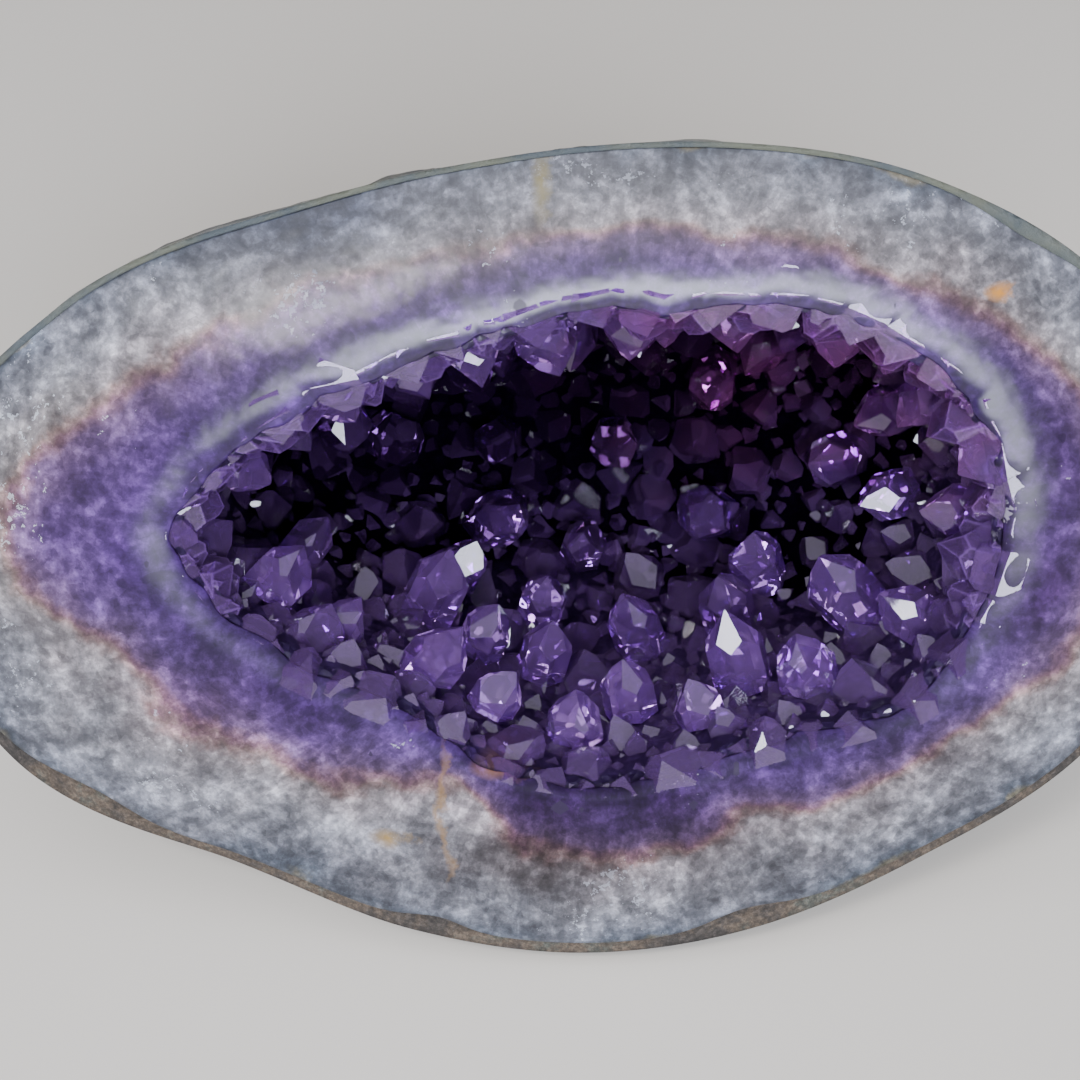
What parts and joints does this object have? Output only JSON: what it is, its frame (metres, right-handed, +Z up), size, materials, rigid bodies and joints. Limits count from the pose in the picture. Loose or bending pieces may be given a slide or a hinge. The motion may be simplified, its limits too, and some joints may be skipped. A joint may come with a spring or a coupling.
{
  "type": "amethyst geode half",
  "caption": "Half of an amethyst geode with a polished domed face, a crystal-lined cavity, a dark rind and a flat sawn base to stand on.",
  "frame": {"origin": "centre of the bounding box at its lowest height, in the plane of the sawn base", "axes": "+X to the right along the long side of the face, +Y away from the viewer towards the back of the stone, +Z up; the polished face looks along -Y and leans back 32 degrees"},
  "size_m": [0.178, 0.1039, 0.0946],
  "materials": {
    "rind_stone": "rough",
    "quartz_polished": "polished",
    "amethyst": "glossy"
  },
  "bodies": {
    "root": {"crystal_01": "amethyst", "crystal_02": "amethyst", "crystal_03": "amethyst", "crystal_04": "amethyst", "crystal_05": "amethyst", "crystal_06": "amethyst", "crystal_07": "amethyst", "crystal_08": "amethyst", "crystal_09": "amethyst", "crystal_10": "amethyst", "crystal_11": "amethyst", "crystal_12": "amethyst", "crystal_13": "amethyst", "crystal_14": "amethyst", "crystal_15": "amethyst", "crystal_16": "amethyst", "crystal_17": "amethyst", "crystal_18": "amethyst", "crystal_19": "amethyst", "crystal_20": "amethyst", "crystal_21": "amethyst", "crystal_22": "amethyst", "crystal_23": "amethyst", "crystal_24": "amethyst", "crystal_25": "amethyst", "crystal_26": "amethyst", "crystal_27": "amethyst", "crystal_28": "amethyst", "crystal_29": "amethyst", "crystal_30": "amethyst", "crystal_31": "amethyst", "crystal_32": "amethyst", "crystal_33": "amethyst", "crystal_34": "amethyst", "crystal_35": "amethyst", "crystal_36": "amethyst", "crystal_37": "amethyst", "crystal_38": "amethyst", "crystal_39": "amethyst", "crystal_40": "amethyst", "crystal_41": "amethyst", "crystal_42": "amethyst", "crystal_43": "amethyst", "crystal_44": "amethyst", "crystal_45": "amethyst", "crystal_46": "amethyst", "crystal_47": "amethyst", "crystal_48": "amethyst", "crystal_49": "amethyst", "crystal_50": "amethyst", "crystal_51": "amethyst", "quartz_wall": "quartz_polished", "rind": "rind_stone"}
  },
  "joints": []
}
